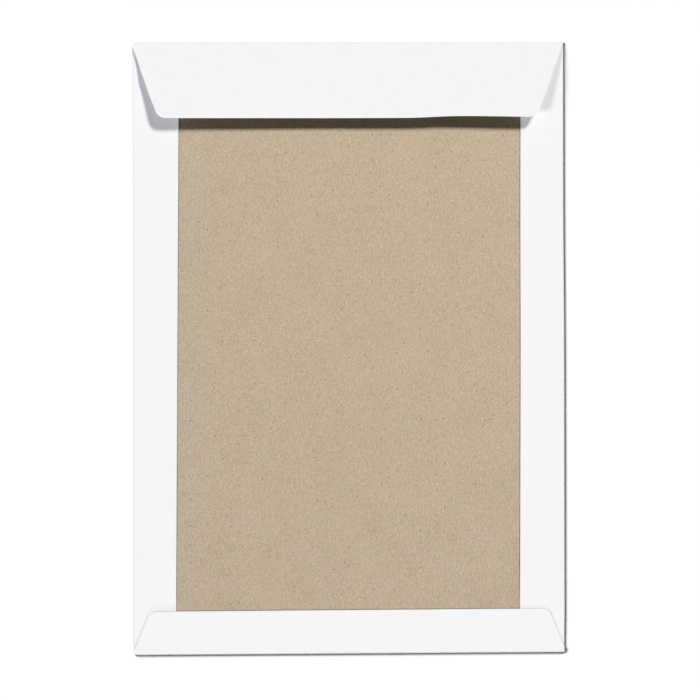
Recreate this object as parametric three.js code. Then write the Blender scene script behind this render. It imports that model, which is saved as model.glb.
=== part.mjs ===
// A board-backed envelope, lying on its paper front with the board side up and the closing flap sprung open.
// One sheet of paper is folded round three edges of a stiff board and carries the closing flap on the fourth.
// Millimetres, +Z up, +Y towards the closing flap. The origin is under the middle, on the surface it lies on.

import * as THREE from 'three';

const { clamp, degToRad, inverseLerp } = THREE.MathUtils;

// Folded size
const WIDTH = 229;
const LENGTH = 324;

// Thickness of each layer
const PAPER = 0.15;
const BOARD = 0.65;
const ADHESIVE = 0.1;
const LINER = 0.07;

// Spaces between the layers
const POCKET = 0.4; // slack for the contents, between the front panel and the board
const GLUE_FILM = 0.05; // between a glued flap and what it is stuck to
const STRIP_FILM = 0.02; // between the closing flap, the adhesive and its liner
const BOARD_CLEARANCE = 0.3; // between the board's cut edges and the folds round them
const FOLD_CLEARANCE = 0.2; // between the root of the closing flap and the seams under it

// Side seams, glued over the board
const SEAM_WIDTH = 23;
const SEAM_SLANT = 12; // degrees that their ends are cut back
const SEAM_CORNER = 3;
const SEAM_RELIEF = 1.5; // left unfolded at each end, beside the bottom and top folds

// Bottom flap, glued over the board and the ends of the seams
const BOTTOM_DEPTH = 23;
const BOTTOM_SHOULDER = 2.5; // straight stretch of its ends beside the fold
const BOTTOM_SLANT = 22; // degrees
const BOTTOM_CORNER = 5.5;
const STEP_LENGTH = 0.8; // over which its paper climbs from the board onto a seam
const STEP_LEAD = 0.5; // from the top of that step to the seam's edge

// Closing flap
const FLAP_DEPTH = 41.3;
const FLAP_SHOULDER = 1.2; // straight stretch of its ends beside the fold
const FLAP_SLANT = 19.5; // degrees
const FLAP_CORNER = 6;
const FLAP_LIFT = 10; // degrees that it springs up from the board

// Board
const BOARD_CORNER = 2;
const BOARD_SETBACK = 2.5; // from the top fold down to the board's upper edge

// Adhesive band inside the closing flap, and the liner that covers it
const BAND_WIDTH = 12;
const BAND_INSET = 8; // from the flap's free edge
const BAND_END = 8; // from the flap's slanted ends
const LINER_MARGIN = 2; // the liner's reach past the band on every side

// Facets
const BEND_STEPS = 8;
const CORNER_STEPS = 4;

// Outer radius of each fold, which sets the height of the flap that it turns over
const LAYERS_UNDER_SEAM = PAPER + POCKET + BOARD + GLUE_FILM;
const BOARD_FOLD_RADIUS = (LAYERS_UNDER_SEAM + PAPER) / 2;
const FLAP_FOLD_RADIUS = BOARD_FOLD_RADIUS + (FOLD_CLEARANCE + PAPER) / 2;

// Lines of the front panel where the folds begin
const SIDE_LINE = WIDTH / 2 - BOARD_FOLD_RADIUS;
const BOTTOM_LINE = LENGTH / 2 - BOARD_FOLD_RADIUS;
const TOP_LINE = LENGTH / 2 - FLAP_FOLD_RADIUS;

// A crease of the sheet. Past it the paper rolls up and over until it has turned through an angle.
class Crease {
	constructor(middle, outward, radius, turn) {
		this.middle = middle;
		this.outward = outward;
		this.direction = new THREE.Vector2(-outward.y, outward.x);
		this.radius = radius;
		this.turn = turn;
		this.bend = (radius - PAPER / 2) * turn;
	}

	// Where a point of the flat sheet comes to lie, from its place along the crease, its distance past the crease
	// and its depth below the outer face.
	place(along, past, depth) {
		const angle = this.turn * Math.min(past / this.bend, 1);
		const straight = Math.max(past - this.bend, 0);
		const arm = this.radius - depth;
		const forward = arm * Math.sin(angle) + straight * Math.cos(angle);
		const height = this.radius - arm * Math.cos(angle) + straight * Math.sin(angle);
		const spot = this.middle.clone();
		spot.addScaledVector(this.direction, along);
		spot.addScaledVector(this.outward, forward);
		return new THREE.Vector3(spot.x, spot.y, height);
	}
}

// A flap of the blank: as wide as its root through the bend and the shoulder, then slanted in, with round corners.
class Flap {
	constructor({ crease, halfRoot, depth, shoulder = 0, slant, corner, step = null }) {
		this.crease = crease;
		this.halfRoot = halfRoot;
		this.shoulderEnd = crease.bend + shoulder;
		this.reach = crease.bend + depth - crease.radius;
		this.slant = degToRad(slant);
		this.corner = corner;
		this.step = step;
	}

	// Half the flap's width at a distance past its crease, with its corners still sharp.
	halfAt(past) {
		return this.halfRoot - Math.max(past - this.shoulderEnd, 0) * Math.tan(this.slant);
	}

	// One slanted end, drawn flat: x is the distance past the crease, y half the width.
	endOutline() {
		const tangent = this.corner * Math.tan((Math.PI / 2 - this.slant) / 2);
		const centre = new THREE.Vector2(this.reach - this.corner, this.halfAt(this.reach) - tangent);
		const arcStart = centre.x + this.corner * Math.sin(this.slant);
		const outline = new THREE.Path();
		outline.moveTo(this.crease.bend, this.halfRoot);
		outline.lineTo(this.shoulderEnd, this.halfRoot);
		outline.lineTo(arcStart, this.halfAt(arcStart));
		outline.absarc(centre.x, centre.y, this.corner, Math.PI / 2 - this.slant, 0, true);
		return outline.getPoints(CORNER_STEPS);
	}

	// Rows across the flap from the crease to the free edge, each as its distance past the crease and half its width.
	rows() {
		const rows = this.endOutline();
		for (let step = 0; step < BEND_STEPS; step++) {
			rows.push(new THREE.Vector2((this.crease.bend * step) / BEND_STEPS, this.halfRoot));
		}
		if (this.step) {
			rows.push(...this.step.pasts.map((past) => new THREE.Vector2(past, this.halfAt(past))));
		}
		return rows.sort((a, b) => a.x - b.x);
	}

	// Places along a row that has the given half width.
	columns(half) {
		const right = this.step ? [...this.step.alongs, half] : [half];
		return [...right.map((along) => -along).reverse(), ...right];
	}

	// Where a point of the flat flap comes to lie, lifted by what it has climbed onto.
	place(along, past, depth) {
		const lift = this.step ? this.step.lift(Math.abs(along), past) : 0;
		return this.crease.place(along, past, depth - lift);
	}
}

// The step that a glued flap makes where it climbs from the board onto the ends of the seams.
class Step {
	constructor({ alongs, pasts, height }) {
		this.alongs = alongs;
		this.pasts = pasts;
		this.height = height;
	}

	lift(along, past) {
		const sideways = clamp(inverseLerp(...this.alongs, along), 0, 1);
		const lengthways = clamp(inverseLerp(...this.pasts, past), 0, 1);
		return this.height * Math.min(sideways, lengthways);
	}
}

// A sheet without thickness: points that know where they lie at each depth, and triangles that face its inner side.
class Surface {
	constructor() {
		this.points = [];
		this.triangles = [];
	}

	addPoint(place) {
		this.points.push(place);
		return this.points.length - 1;
	}

	// Adds the points of one row across a flap.
	addRow(flap, past, half) {
		return flap.columns(half).map((along) => this.addPoint((depth) => flap.place(along, past, depth)));
	}

	// Fills the strip between a row and the next one out.
	addStrip(row, next) {
		for (let column = 1; column < row.length; column++) {
			const [start, end] = [row[column - 1], row[column]];
			const [nextStart, nextEnd] = [next[column - 1], next[column]];
			this.triangles.push([start, nextStart, nextEnd], [start, nextEnd, end]);
		}
	}

	// Adds a stretch of a flap and returns its first row.
	addRows(flap, rows) {
		const placed = rows.map((row) => this.addRow(flap, row.x, row.y));
		for (let next = 1; next < placed.length; next++) {
			this.addStrip(placed[next - 1], placed[next]);
		}
		return placed[0];
	}

	// Fills a panel that has no fold in it from its middle.
	addPanel(rim, place) {
		const middle = this.addPoint(place);
		rim.forEach((point, index) => {
			this.triangles.push([middle, point, rim[(index + 1) % rim.length]]);
		});
	}

	// Edges that only one triangle has.
	boundary() {
		const edges = this.triangles.flatMap(([a, b, c]) => [[a, b], [b, c], [c, a]]);
		const taken = new Set(edges.map(([a, b]) => `${a},${b}`));
		return edges.filter(([a, b]) => !taken.has(`${b},${a}`));
	}

	// Closed solid between two depths below the outer face.
	solid(outerDepth, innerDepth) {
		const count = this.points.length;
		const places = [outerDepth, innerDepth].flatMap((depth) => this.points.map((place) => place(depth)));
		const faces = [];
		for (const [a, b, c] of this.triangles) {
			faces.push(c, b, a, a + count, b + count, c + count);
		}
		for (const [a, b] of this.boundary()) {
			faces.push(a, b, b + count, a, b + count, a + count);
		}
		const indexed = new THREE.BufferGeometry().setFromPoints(places);
		indexed.setIndex(faces);
		const geometry = indexed.toNonIndexed();
		geometry.computeVertexNormals();
		return geometry;
	}
}

// A glued seam on the right, where side is 1, or the left, where it is -1.
function sideSeam(side) {
	const low = -BOTTOM_LINE + SEAM_RELIEF;
	const high = TOP_LINE - SEAM_RELIEF;
	const middle = new THREE.Vector2(side * SIDE_LINE, (low + high) / 2);
	return new Flap({
		crease: new Crease(middle, new THREE.Vector2(side, 0), BOARD_FOLD_RADIUS, Math.PI),
		halfRoot: (high - low) / 2,
		depth: SEAM_WIDTH,
		slant: SEAM_SLANT,
		corner: SEAM_CORNER,
	});
}

// The bottom flap, which lies on the board between the seams and on the seams' ends beside it.
function bottomFlap() {
	const crease = new Crease(
		new THREE.Vector2(0, -BOTTOM_LINE), new THREE.Vector2(0, -1), BOARD_FOLD_RADIUS, Math.PI);
	const stepTop = WIDTH / 2 - SEAM_WIDTH - STEP_LEAD;
	const stepBack = crease.bend + SEAM_RELIEF - STEP_LEAD;
	return new Flap({
		crease,
		halfRoot: WIDTH / 2,
		depth: BOTTOM_DEPTH,
		shoulder: BOTTOM_SHOULDER,
		slant: BOTTOM_SLANT,
		corner: BOTTOM_CORNER,
		step: new Step({
			alongs: [stepTop - STEP_LENGTH, stepTop],
			pasts: [stepBack - STEP_LENGTH, stepBack],
			height: PAPER + GLUE_FILM,
		}),
	});
}

// The closing flap, sprung open about its crease.
function closingFlap() {
	const turn = Math.PI - degToRad(FLAP_LIFT);
	return new Flap({
		crease: new Crease(new THREE.Vector2(0, TOP_LINE), new THREE.Vector2(0, 1), FLAP_FOLD_RADIUS, turn),
		halfRoot: WIDTH / 2,
		depth: FLAP_DEPTH,
		shoulder: FLAP_SHOULDER,
		slant: FLAP_SLANT,
		corner: FLAP_CORNER,
	});
}

// The folded sheet, from its flaps in order round the front panel. The straight edges between the roots of two
// neighbouring flaps are the relief cuts at the corners of the blank.
function paperCover(flaps) {
	const surface = new Surface();
	const roots = flaps.map((flap) => surface.addRows(flap, flap.rows()));
	surface.addPanel(roots.flat(), (depth) => new THREE.Vector3(0, 0, depth));
	return surface.solid(0, PAPER);
}

// The stiff board, which the seams and the bottom flap hold by its edges.
function backingBoard() {
	const side = SIDE_LINE - BOARD_CLEARANCE;
	const foot = -BOTTOM_LINE + BOARD_CLEARANCE;
	const head = LENGTH / 2 - BOARD_SETBACK;
	const outline = new THREE.Shape();
	outline.absarc(side - BOARD_CORNER, foot + BOARD_CORNER, BOARD_CORNER, -Math.PI / 2, 0);
	outline.absarc(side - BOARD_CORNER, head - BOARD_CORNER, BOARD_CORNER, 0, Math.PI / 2);
	outline.absarc(BOARD_CORNER - side, head - BOARD_CORNER, BOARD_CORNER, Math.PI / 2, Math.PI);
	outline.absarc(BOARD_CORNER - side, foot + BOARD_CORNER, BOARD_CORNER, Math.PI, (3 * Math.PI) / 2);
	return new THREE.ExtrudeGeometry(outline, {
		depth: BOARD,
		bevelEnabled: false,
		curveSegments: CORNER_STEPS,
	});
}

// A straight band on the inner face of a flap, the given margin larger all round than the adhesive.
function band(flap, margin, depth, thickness) {
	const outer = flap.reach - BAND_INSET;
	const half = flap.halfAt(outer) - BAND_END + margin;
	const surface = new Surface();
	surface.addRows(flap, [
		new THREE.Vector2(outer - BAND_WIDTH - margin, half),
		new THREE.Vector2(outer + margin, half),
	]);
	return surface.solid(depth, depth + thickness);
}

const paperFinish = new THREE.MeshStandardMaterial({ color: 0xf6f6f7, roughness: 0.75 });
const boardFinish = new THREE.MeshStandardMaterial({ color: 0xc1b096, roughness: 0.95 });
const adhesiveFinish = new THREE.MeshStandardMaterial({ color: 0xe9e6da, roughness: 0.25 });
const linerFinish = new THREE.MeshStandardMaterial({ color: 0xf4f2ea, roughness: 0.3 });

const envelope = new THREE.Group();

function addPiece(name, geometry, finish) {
	const piece = new THREE.Mesh(geometry, finish);
	piece.name = name;
	envelope.add(piece);
	return piece;
}

const closing = closingFlap();
addPiece('paper_cover', paperCover([bottomFlap(), sideSeam(1), closing, sideSeam(-1)]), paperFinish);
addPiece('backing_board', backingBoard(), boardFinish).position.z = PAPER + POCKET;

const adhesiveDepth = PAPER + STRIP_FILM;
const linerDepth = adhesiveDepth + ADHESIVE + STRIP_FILM;
addPiece('seal_strip', band(closing, 0, adhesiveDepth, ADHESIVE), adhesiveFinish);
addPiece('release_liner', band(closing, LINER_MARGIN, linerDepth, LINER), linerFinish);

export default envelope;
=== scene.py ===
"""Dresses a board-backed envelope: its folded paper cover, its greyboard back, its seal strip and the liner.

Metres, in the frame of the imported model: +Z up out of the board side, +Y towards the closing flap, and the
origin under the middle of the envelope, on the surface that its paper front lies on.
"""

import logging
import math
from dataclasses import dataclass, replace
from enum import Enum
from functools import cached_property
from typing import Any, Protocol

import bmesh
import bpy
import numpy as np
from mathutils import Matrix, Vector


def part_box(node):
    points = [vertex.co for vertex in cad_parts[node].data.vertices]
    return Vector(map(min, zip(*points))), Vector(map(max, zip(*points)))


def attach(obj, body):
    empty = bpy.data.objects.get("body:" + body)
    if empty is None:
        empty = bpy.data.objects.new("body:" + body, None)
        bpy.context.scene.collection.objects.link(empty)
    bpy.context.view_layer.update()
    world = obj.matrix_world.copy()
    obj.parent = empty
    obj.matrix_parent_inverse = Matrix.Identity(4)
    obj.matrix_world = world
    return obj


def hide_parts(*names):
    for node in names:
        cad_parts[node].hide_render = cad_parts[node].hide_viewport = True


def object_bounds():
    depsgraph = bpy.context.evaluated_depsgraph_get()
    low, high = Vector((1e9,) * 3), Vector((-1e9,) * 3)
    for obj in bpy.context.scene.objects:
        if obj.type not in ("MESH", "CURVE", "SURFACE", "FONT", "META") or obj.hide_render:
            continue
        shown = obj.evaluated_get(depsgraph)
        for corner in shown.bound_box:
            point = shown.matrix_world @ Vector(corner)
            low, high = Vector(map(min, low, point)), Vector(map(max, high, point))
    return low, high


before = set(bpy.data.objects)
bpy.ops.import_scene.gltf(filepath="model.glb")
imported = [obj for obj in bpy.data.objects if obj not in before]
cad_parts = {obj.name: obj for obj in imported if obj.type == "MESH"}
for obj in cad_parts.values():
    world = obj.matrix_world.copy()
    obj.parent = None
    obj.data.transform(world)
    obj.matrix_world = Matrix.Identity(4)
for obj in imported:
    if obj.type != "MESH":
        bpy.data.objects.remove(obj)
CAD_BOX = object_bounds()

Colour = tuple[float, float, float]
Size = tuple[float, float, float]
Direction = tuple[float, float]
Span = tuple[float, float]
Spacing = tuple[float, float, float]  # start, stop and step, in millimetres
Socket = bpy.types.NodeSocket
Value = Socket | float
Paint = Socket | Colour

MM = 0.001
SIDE, END = -CAD_BOX[0].xy  # from the middle to the side folds, and to the folds at the head and the foot
WHOLE: Span = (0.0, 1.0)
BULGE_PEAK = 4 / 27  # the most that share**2 * (1 - share) comes to
BODY = "root"

log = logging.getLogger("envelope")


def smooth_step(low: float, high: float, value: np.ndarray) -> np.ndarray:
    """Rises smoothly from 0 at one value to 1 at another.

    Args:
        low: The value up to which the result is 0.
        high: The value from which the result is 1.
        value: The values to look up.

    Returns:
        The height of the step at each value.
    """
    share = np.clip((value - low) / (high - low), 0.0, 1.0)
    return share * share * (3.0 - 2.0 * share)


def spaced(start: float, stop: float, step: float) -> np.ndarray:
    """Gives evenly spaced places in metres, from a spacing in millimetres."""
    return np.arange(start, stop, step) * MM


def cube(side: float) -> Size:
    """Gives a size that is the same along each axis."""
    return (side, side, side)


class Border(Enum):
    """A border of a patch of sheet, as the index of its points in the patch's rows and columns."""

    FIRST_ROW = (0, ...)
    LAST_ROW = (-1, ...)
    FIRST_COLUMN = (..., 0)
    LAST_COLUMN = (..., -1)


@dataclass(frozen=True)
class Patch:
    """A piece of a sheet: two layers of points in rows and columns, and the borders where it was cut."""

    outer: np.ndarray
    inner: np.ndarray
    cut: tuple[Border, ...]
    # How dull each point is along a fold: partly fold wear, partly painted shade on the rolled folds.
    worn: np.ndarray | float = 0.0


class SheetMesh:
    """Joins patches of sheet into one closed mesh, whose points know their face and how much fold wear and
    painted fold shade they carry.
    """

    weld = 0.002 * MM
    smooth_angle = math.radians(35)
    fold_wear_and_shade_name = "fold_wear_and_shade"
    inside_name = "inside"

    def __init__(self, name: str) -> None:
        """Starts an empty sheet.

        Args:
            name: The name of the sheet's object.
        """
        self.name = name
        self.points: list[np.ndarray] = []
        self.fold_wear_and_shade: list[np.ndarray] = []
        self.inside: list[np.ndarray] = []
        self.faces: list[list[int]] = []
        self.count = 0

    def add(self, patch: Patch) -> None:
        """Adds both layers of a patch, and the walls along its cut borders.

        Args:
            patch: The piece of sheet to add.
        """
        rows, columns = patch.outer.shape[:2]
        size = rows * columns
        outer = np.arange(size).reshape(rows, columns) + self.count
        inner = outer + size
        self.points += [patch.outer.reshape(-1, 3), patch.inner.reshape(-1, 3)]
        self.fold_wear_and_shade += 2 * [np.broadcast_to(patch.worn, (rows, columns)).reshape(-1)]
        self.inside += [np.zeros(size), np.ones(size)]
        self.count += 2 * size
        walls = [np.stack([outer[border.value], inner[border.value]]) for border in patch.cut]
        for grid in (outer, inner, *walls):
            quads = np.stack([grid[:-1, :-1], grid[:-1, 1:], grid[1:, 1:], grid[1:, :-1]], axis=-1)
            self.faces += quads.reshape(-1, 4).tolist()

    def build(self) -> bpy.types.Object:
        """Makes the mesh object, with the patches welded and the faces turned outwards.

        Returns:
            The new object, in the scene's collection.
        """
        mesh = bpy.data.meshes.new(self.name)
        mesh.from_pydata(np.concatenate(self.points).tolist(), [], self.faces)
        for name, values in ((self.fold_wear_and_shade_name, self.fold_wear_and_shade), (self.inside_name, self.inside)):
            mesh.attributes.new(name, "FLOAT", "POINT").data.foreach_set("value", np.concatenate(values))
        work = bmesh.new()
        work.from_mesh(mesh)
        bmesh.ops.remove_doubles(work, verts=work.verts, dist=self.weld)
        bmesh.ops.recalc_face_normals(work, faces=work.faces)
        work.to_mesh(mesh)
        open_edges = sum(1 for edge in work.edges if not edge.is_manifold)
        work.free()
        if open_edges:
            log.warning("%s has %d open edges", self.name, open_edges)
        mesh.shade_smooth()
        mesh.set_sharp_from_angle(angle=self.smooth_angle)
        thing = bpy.data.objects.new(self.name, mesh)
        bpy.context.scene.collection.objects.link(thing)
        return thing


@dataclass(frozen=True)
class CornerKnock:
    """A corner that folding and handling have pushed a little out of line, or pressed flatter."""

    spot: Direction
    push: Direction
    radius: float
    press: float = 0.0


@dataclass(frozen=True)
class Making:
    """How this envelope departs from its nominal shape: folds out of square, and knocked corners."""

    skew: float = -0.0058
    lean: float = 0.41 * MM
    lean_alongs: Span = (-17 * MM, 89 * MM)
    corners: tuple[CornerKnock, ...] = (
        CornerKnock((SIDE - 0.5 * MM, END), (0.1 * MM, -0.1 * MM), 2.0 * MM, press=0.35),
        CornerKnock((SIDE, -END), (0.2 * MM, 0.1 * MM), 1.4 * MM, press=0.4),
        CornerKnock((SIDE, -END), (-0.2 * MM, 0.0), 14 * MM),
        CornerKnock((-SIDE, END - 3.5 * MM), (-0.2 * MM, 0.0), 3.4 * MM),
        CornerKnock((-SIDE, END), (0.35 * MM, -0.2 * MM), 1.3 * MM),
        CornerKnock((-SIDE, -END), (0.4 * MM, 0.2 * MM), 1.3 * MM),
    )

    def settle(self, points: np.ndarray) -> np.ndarray:
        """Moves points of the nominal shape to where they lie on this envelope.

        Args:
            points: Points in the frame, in any number of rows.

        Returns:
            The moved points, in the same order.
        """
        low, high = CAD_BOX
        moved = points.copy()
        towards_foot = (high.y - points[..., 1]) / (high.y - low.y)
        moved[..., 1] -= self.skew * points[..., 0] * towards_foot
        rightward = np.maximum(points[..., 0], 0.0) / high.x
        moved[..., 0] -= self.lean * rightward * smooth_step(*self.lean_alongs, points[..., 1])
        for corner in self.corners:
            away = np.hypot(points[..., 0] - corner.spot[0], points[..., 1] - corner.spot[1])
            share = np.exp(-((away / corner.radius) ** 2))
            moved[..., 0] += corner.push[0] * share
            moved[..., 1] += corner.push[1] * share
            moved[..., 2] *= 1.0 - corner.press * share
        return moved


MAKING = Making()


@dataclass(frozen=True)
class Ripple:
    """A gentle wave in the paper, along the crease of its flap."""

    height: float
    length: float
    phase: float

    def at(self, along: np.ndarray) -> np.ndarray:
        """Gives the wave's height at places along the crease."""
        return self.height * np.sin(2.0 * math.pi * along / self.length + self.phase)


def rippled(ripples: tuple[Ripple, ...], along: np.ndarray) -> np.ndarray:
    """Adds up waves at places along a crease."""
    return sum((ripple.at(along) for ripple in ripples), np.zeros_like(along))


@dataclass(frozen=True)
class Crease:
    """A crease of the sheet, past which the paper rolls up and over through an angle."""

    middle: Direction
    outward: Direction
    radius: float
    turn: float
    paper: float

    @property
    def bend(self) -> float:
        """Gives the length of paper that the roll takes up, along its middle layer."""
        return (self.radius - self.paper / 2) * self.turn

    def fold_wear_and_shade(self, past: np.ndarray) -> np.ndarray:
        """Gives how much the paper is dulled along the roll, by fold wear and by painted shade, most in the
        middle of the roll.
        """
        return np.exp(-((2.0 * past / self.bend - 1.0) ** 2))

    def place(self, along: np.ndarray, past: np.ndarray, depth: np.ndarray) -> np.ndarray:
        """Finds where points of the flat sheet come to lie.

        Args:
            along: Places along the crease, from its middle.
            past: Distances past the crease.
            depth: Depths below the outer face of the sheet.

        Returns:
            The folded points, with their coordinates on the last axis.
        """
        angle = self.turn * np.minimum(past / self.bend, 1.0)
        straight = np.maximum(past - self.bend, 0.0)
        arm = self.radius - depth
        forward = arm * np.sin(angle) + straight * np.cos(angle)
        height = self.radius - arm * np.cos(angle) + straight * np.sin(angle)
        x = self.middle[0] - self.outward[1] * along + self.outward[0] * forward
        y = self.middle[1] + self.outward[0] * along + self.outward[1] * forward
        return np.stack(np.broadcast_arrays(x, y, height), axis=-1)


@dataclass(frozen=True)
class Columns:
    """Places across a flap: fixed ones near its middle, then some that share out the rest of its width."""

    fixed: tuple[float, ...]
    tail_steps: int

    def one_side(self, half: np.ndarray) -> np.ndarray:
        """Gives the places from the middle to one side, across rows of the given half widths.

        Args:
            half: Half the width of each row.

        Returns:
            One row of places for each row.
        """
        fixed = np.array(self.fixed)
        shares = np.linspace(0.0, 1.0, self.tail_steps + 1)[1:]
        half = np.asarray(half, dtype=float).reshape(-1, 1)
        tail = fixed[-1] + shares * (half - fixed[-1])
        return np.concatenate([np.broadcast_to(fixed, (len(half), len(fixed))), tail], axis=1)

    def at(self, first_half: np.ndarray, last_half: np.ndarray) -> np.ndarray:
        """Gives the places across rows of the given half widths.

        Args:
            first_half: Half the width of each row, towards the start of the crease.
            last_half: Half the width of each row, towards its end.

        Returns:
            One row of places for each row.
        """
        return np.concatenate([-self.one_side(first_half)[:, :0:-1], self.one_side(last_half)], axis=1)


@dataclass
class Flap:
    """A flap of the blank, as wide as its root up to the shoulder, then slanted in to round corners."""

    crease: Crease
    half_root: float
    columns: Columns
    depth: float
    slant: float
    corner: float
    shoulders: Span = (0.0, 0.0)
    bulge: float = 0.0
    short: float = 0.0
    slew: float = 0.0
    bend_steps: int = 16
    span_steps: int = 28
    corner_steps: int = 10

    @property
    def reach(self) -> float:
        """Gives the distance from the crease to the free edge, on the flat sheet."""
        return self.crease.bend + self.depth - self.crease.radius

    @property
    def round_start(self) -> float:
        """Gives the distance from the crease to the start of the round corners, on the flat sheet."""
        return self.reach - self.corner * (1.0 - math.sin(self.slant))

    def half_sharp(self, past: np.ndarray, side: np.ndarray) -> np.ndarray:
        """Gives half the flap's width, with its corners still sharp.

        Args:
            past: Distances past the crease.
            side: Numbers below 0 towards the start of the crease, and above 0 towards its end.

        Returns:
            Half the width at each distance, on that side.
        """
        slant_start = self.crease.bend + np.where(np.asarray(side) < 0, *self.shoulders)
        share = np.clip((past - slant_start) / (self.round_start - slant_start), 0.0, 1.0)
        swollen = self.bulge * share**2 * (1.0 - share) / BULGE_PEAK
        return self.half_root + swollen - np.maximum(past - slant_start, 0.0) * math.tan(self.slant)

    def half_width(self, past: np.ndarray, side: np.ndarray) -> np.ndarray:
        """Gives half the flap's width, with its corners rounded.

        Args:
            past: Distances past the crease.
            side: Numbers below 0 towards the start of the crease, and above 0 towards its end.

        Returns:
            Half the width at each distance, on that side.
        """
        tangent = self.corner * math.tan((math.pi / 2 - self.slant) / 2)
        centre_half = self.half_sharp(self.reach, side) - tangent
        beyond = past - (self.reach - self.corner)
        arc = centre_half + np.sqrt(np.maximum(self.corner**2 - beyond**2, 0.0))
        return np.where(past > self.round_start, arc, self.half_sharp(past, side))

    def rows(self) -> np.ndarray:
        """Gives the rows of the mesh, through the bend, the flat and the round corners.

        Returns:
            The distance of each row past the crease.
        """
        arc = np.linspace(self.slant, math.pi / 2, self.corner_steps + 1)
        round_part = self.reach - self.corner + self.corner * np.sin(arc)
        bend_part = np.linspace(0.0, self.crease.bend, self.bend_steps, endpoint=False)
        span = np.linspace(self.crease.bend, self.round_start, self.span_steps, endpoint=False)
        return np.concatenate([bend_part, span, round_part])

    def free_distance(self, along: np.ndarray, past: np.ndarray) -> np.ndarray:
        """Gives the distance of points from the flap's nearest cut edge."""
        sideways = (self.half_width(past, along) - np.abs(along)) * math.cos(self.slant)
        return np.minimum(self.reach - past, sideways)

    def relief(self, along: np.ndarray, past: np.ndarray) -> np.ndarray:
        """Gives how far the paper stands off its nominal face; a plain flap stands off nowhere."""
        return np.zeros(np.broadcast(along, past).shape)

    def outness(self, past: np.ndarray) -> np.ndarray:
        """Gives the share of the way from the end of the bend to the free edge."""
        return np.maximum(past - self.crease.bend, 0.0) / (self.reach - self.crease.bend)

    def trim(self, along: np.ndarray, past: np.ndarray) -> np.ndarray:
        """Gives how much the free edge falls short of its line, fading out towards the crease."""
        return (self.short + self.slew * along) * self.outness(past)

    def place(self, along: np.ndarray, past: np.ndarray, depth: np.ndarray) -> np.ndarray:
        """Finds where points of the flat flap come to lie on this envelope.

        Args:
            along: Places along the crease, from its middle.
            past: Distances past the crease.
            depth: Depths below the outer face of the sheet.

        Returns:
            The folded points, with their coordinates on the last axis.
        """
        lifted = depth - self.relief(along, past)
        return MAKING.settle(self.crease.place(along, past - self.trim(along, past), lifted))

    def patch(self) -> Patch:
        """Gives the whole flap as a patch of sheet.

        Returns:
            The patch, open where it joins the front panel.
        """
        past = self.rows()[:, None]
        along = self.columns.at(self.half_width(past, -1), self.half_width(past, 1))
        cut = (Border.LAST_ROW, Border.FIRST_COLUMN, Border.LAST_COLUMN)
        outer = self.place(along, past, 0.0)
        inner = self.place(along, past, self.crease.paper)
        return Patch(outer, inner, cut, self.crease.fold_wear_and_shade(past))


@dataclass
class SideSeam(Flap):
    """A side seam, glued over the board, whose inner edge stands a little proud of it."""

    depth: float = 23 * MM
    slant: float = math.radians(12)
    corner: float = 3 * MM
    edge_lift: float = 0.25 * MM
    edge_reach: float = 1.4 * MM
    pinned: float = 24.0 * MM
    unpinning: float = 10 * MM
    ripples: tuple[Ripple, ...] = (
        Ripple(0.05 * MM, 61 * MM, 0.4),
        Ripple(0.04 * MM, 23 * MM, 1.9),
    )

    def relief(self, along: np.ndarray, past: np.ndarray) -> np.ndarray:
        """Gives how far the seam's inner edge stands proud, except where another flap lies on it.

        Args:
            along: Places along the crease.
            past: Distances past the crease.

        Returns:
            The height of the paper over its nominal face.
        """
        near_edge = np.exp(-(self.reach - past) / self.edge_reach)
        free = smooth_step(0.0, self.unpinning, self.half_root - np.abs(along) - self.pinned)
        return free * near_edge * (self.edge_lift + rippled(self.ripples, along))


@dataclass
class BottomFlap(Flap):
    """The bottom flap, glued to the board in the middle and to the ends of the seams beside it."""

    depth: float = 23.245 * MM
    slant: float = math.radians(22)
    corner: float = 5.5 * MM
    shoulders: Span = (0.245 * MM, 2.045 * MM)
    short: float = 0.16 * MM
    slew: float = -0.0013
    step_height: float = 0.2 * MM
    step_alongs: Span = (86.0 * MM, 91.0 * MM)
    step_pasts: Span = (2.0 * MM, 2.96 * MM)
    edge_lift: float = 0.31 * MM
    edge_lean: float = -0.5
    edge_reach: float = 0.9 * MM
    edge_start: float = 4 * MM
    ripples: tuple[Ripple, ...] = (
        Ripple(0.04 * MM, 47 * MM, 2.1),
        Ripple(0.03 * MM, 19 * MM, 0.3),
    )

    def relief(self, along: np.ndarray, past: np.ndarray) -> np.ndarray:
        """Gives the climb onto the seams' ends, and how far the cut edges stand proud.

        Args:
            along: Places along the crease.
            past: Distances past the crease.

        Returns:
            The height of the paper over its nominal face.
        """
        sideways = smooth_step(*self.step_alongs, np.abs(along))
        lengthways = smooth_step(*self.step_pasts, past)
        climb = self.step_height * np.minimum(sideways, lengthways)
        near_edge = np.exp(-np.maximum(self.free_distance(along, past), 0.0) / self.edge_reach)
        past_bend = smooth_step(self.crease.bend, self.crease.bend + self.edge_start, past)
        lift = self.edge_lift * (1.0 + self.edge_lean * along / self.half_root)
        return climb + past_bend * near_edge * (lift + rippled(self.ripples, along))


@dataclass(frozen=True)
class EdgeCurl:
    """A short stretch of a flap's slanted end that handling has curled up."""

    side: int
    past: float
    length: float
    height: float
    reach: float = 2.2 * MM

    def at(self, along: np.ndarray, past: np.ndarray, from_edge: np.ndarray) -> np.ndarray:
        """Gives the curl's height at points of the flap.

        Args:
            along: Places along the crease.
            past: Distances past the crease.
            from_edge: Distances from the nearest cut edge.

        Returns:
            The height of the paper over its nominal face.
        """
        stretch = np.exp(-(((past - self.past) / self.length) ** 2))
        raised = self.height * stretch * np.exp(-from_edge / self.reach)
        return np.where(along * self.side > 0, raised, 0.0)


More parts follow.
